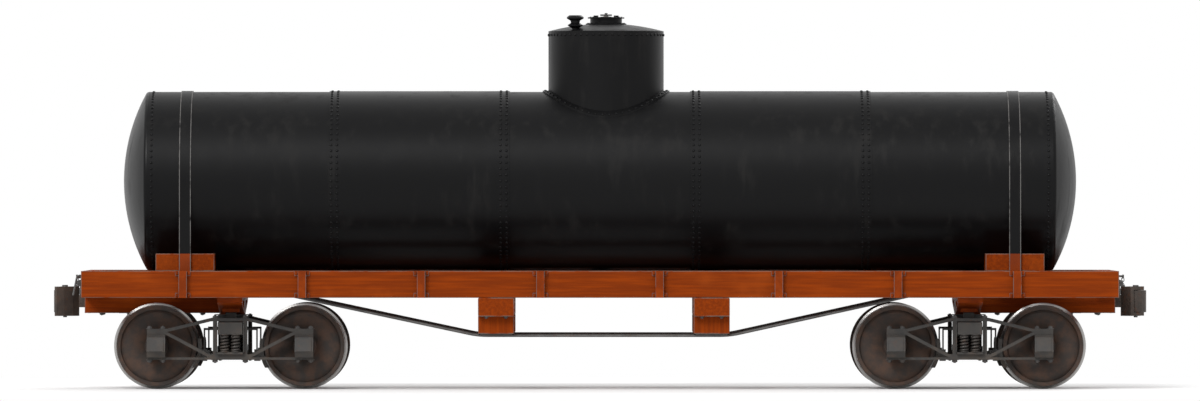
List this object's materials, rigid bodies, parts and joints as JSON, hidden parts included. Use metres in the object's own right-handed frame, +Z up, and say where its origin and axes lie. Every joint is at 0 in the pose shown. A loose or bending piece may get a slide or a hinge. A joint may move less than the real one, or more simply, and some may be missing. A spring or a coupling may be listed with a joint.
{
  "type": "railway tank car",
  "caption": "Railway tank car: a riveted horizontal tank with a domed manway, strapped in cradles on a timber underframe with truss rods, on two four-wheel trucks.",
  "frame": {"origin": "centre of the bounding box's lowest face, level with the wheel flanges' lowest points", "axes": "X along the car, with the safety valve on the -X side of the dome; Y across it; Z up"},
  "size_m": [11.3314, 2.76, 3.8902],
  "materials": {
    "tank_paint": "satin black paint",
    "frame_paint": "mineral brown paint on timber",
    "pocket_paint": "mineral brown paint on iron",
    "dark_iron": "bare dark iron",
    "truck_paint": "worn black paint",
    "wheel_iron": "chilled iron with bright treads",
    "spring_steel": "dark spring steel",
    "cast_coupler": "rough casting"
  },
  "bodies": {
    "car": {"side_sills": "frame_paint", "centre_sills": "frame_paint", "intermediate_sills": "frame_paint", "end_sills": "frame_paint", "needle_beams": "frame_paint", "queen_posts": "frame_paint", "tank_cradles": "frame_paint", "draft_timbers": "frame_paint", "stake_pockets": "pocket_paint", "body_bolsters": "pocket_paint", "tank_shell": "tank_paint", "tank_head_a": "tank_paint", "tank_head_b": "tank_paint", "dome_wall": "tank_paint", "dome_crown": "tank_paint", "manway_collar": "tank_paint", "safety_valve": "tank_paint", "tank_bands": "tank_paint", "truss_rods": "dark_iron", "rod_seats": "dark_iron", "band_anchors": "dark_iron", "centre_plates": "dark_iron", "outlet_nozzle": "tank_paint", "draft_gear": "dark_iron", "carrier_irons": "dark_iron", "striking_plates": "dark_iron", "coupler_a": "cast_coupler", "coupler_b": "cast_coupler", "knuckle_pins": "dark_iron", "uncoupling_levers": "dark_iron", "end_grab_irons": "dark_iron", "brake_cylinder": "truck_paint", "brake_reservoir": "truck_paint", "brake_rods": "dark_iron", "train_pipe": "dark_iron", "angle_cocks": "dark_iron"},
    "lid": {"manway_lid": "tank_paint", "lid_handle": "dark_iron"},
    "knuckle_a": {"knuckle_a": "cast_coupler"},
    "knuckle_b": {"knuckle_b": "cast_coupler"},
    "truck_a": {"truck_a_arch_bars": "truck_paint", "truck_a_columns": "truck_paint", "truck_a_bolster": "truck_paint", "truck_a_spring_plank": "truck_paint", "truck_a_journal_boxes": "truck_paint", "truck_a_brake_beams": "truck_paint", "truck_a_springs": "spring_steel"},
    "truck_b": {"truck_b_arch_bars": "truck_paint", "truck_b_columns": "truck_paint", "truck_b_bolster": "truck_paint", "truck_b_spring_plank": "truck_paint", "truck_b_journal_boxes": "truck_paint", "truck_b_brake_beams": "truck_paint", "truck_b_springs": "spring_steel"},
    "wheelset_1": {"wheelset_1": "wheel_iron"},
    "wheelset_2": {"wheelset_2": "wheel_iron"},
    "wheelset_3": {"wheelset_3": "wheel_iron"},
    "wheelset_4": {"wheelset_4": "wheel_iron"}
  },
  "joints": [
    {"name": "truck_a_swivel", "type": "hinge", "parent": "car", "child": "truck_a", "pos_m": [-3.81, 0, 0.735], "axis": [0, 0, 1], "range_deg": [-8, 8]},
    {"name": "wheelset_1_spin", "type": "hinge", "parent": "truck_a", "child": "wheelset_1", "pos_m": [-4.572, 0, 0.444], "axis": [0, 1, 0], "continuous": true},
    {"name": "wheelset_2_spin", "type": "hinge", "parent": "truck_a", "child": "wheelset_2", "pos_m": [-3.048, 0, 0.444], "axis": [0, 1, 0], "continuous": true},
    {"name": "truck_b_swivel", "type": "hinge", "parent": "car", "child": "truck_b", "pos_m": [3.81, 0, 0.735], "axis": [0, 0, 1], "range_deg": [-8, 8]},
    {"name": "wheelset_3_spin", "type": "hinge", "parent": "truck_b", "child": "wheelset_3", "pos_m": [3.048, 0, 0.444], "axis": [0, 1, 0], "continuous": true},
    {"name": "wheelset_4_spin", "type": "hinge", "parent": "truck_b", "child": "wheelset_4", "pos_m": [4.572, 0, 0.444], "axis": [0, 1, 0], "continuous": true},
    {"name": "knuckle_a_open", "type": "hinge", "parent": "car", "child": "knuckle_a", "pos_m": [-5.554, 0.092, 0.901], "axis": [0, 0, -1], "range_deg": [0, 45]},
    {"name": "knuckle_b_open", "type": "hinge", "parent": "car", "child": "knuckle_b", "pos_m": [5.554, -0.092, 0.901], "axis": [0, 0, -1], "range_deg": [0, 45]},
    {"name": "lid_open", "type": "hinge", "parent": "car", "child": "lid", "pos_m": [0.063, 0.214, 3.839], "axis": [-1, 0, 0], "range_deg": [0, 110]}
  ]
}
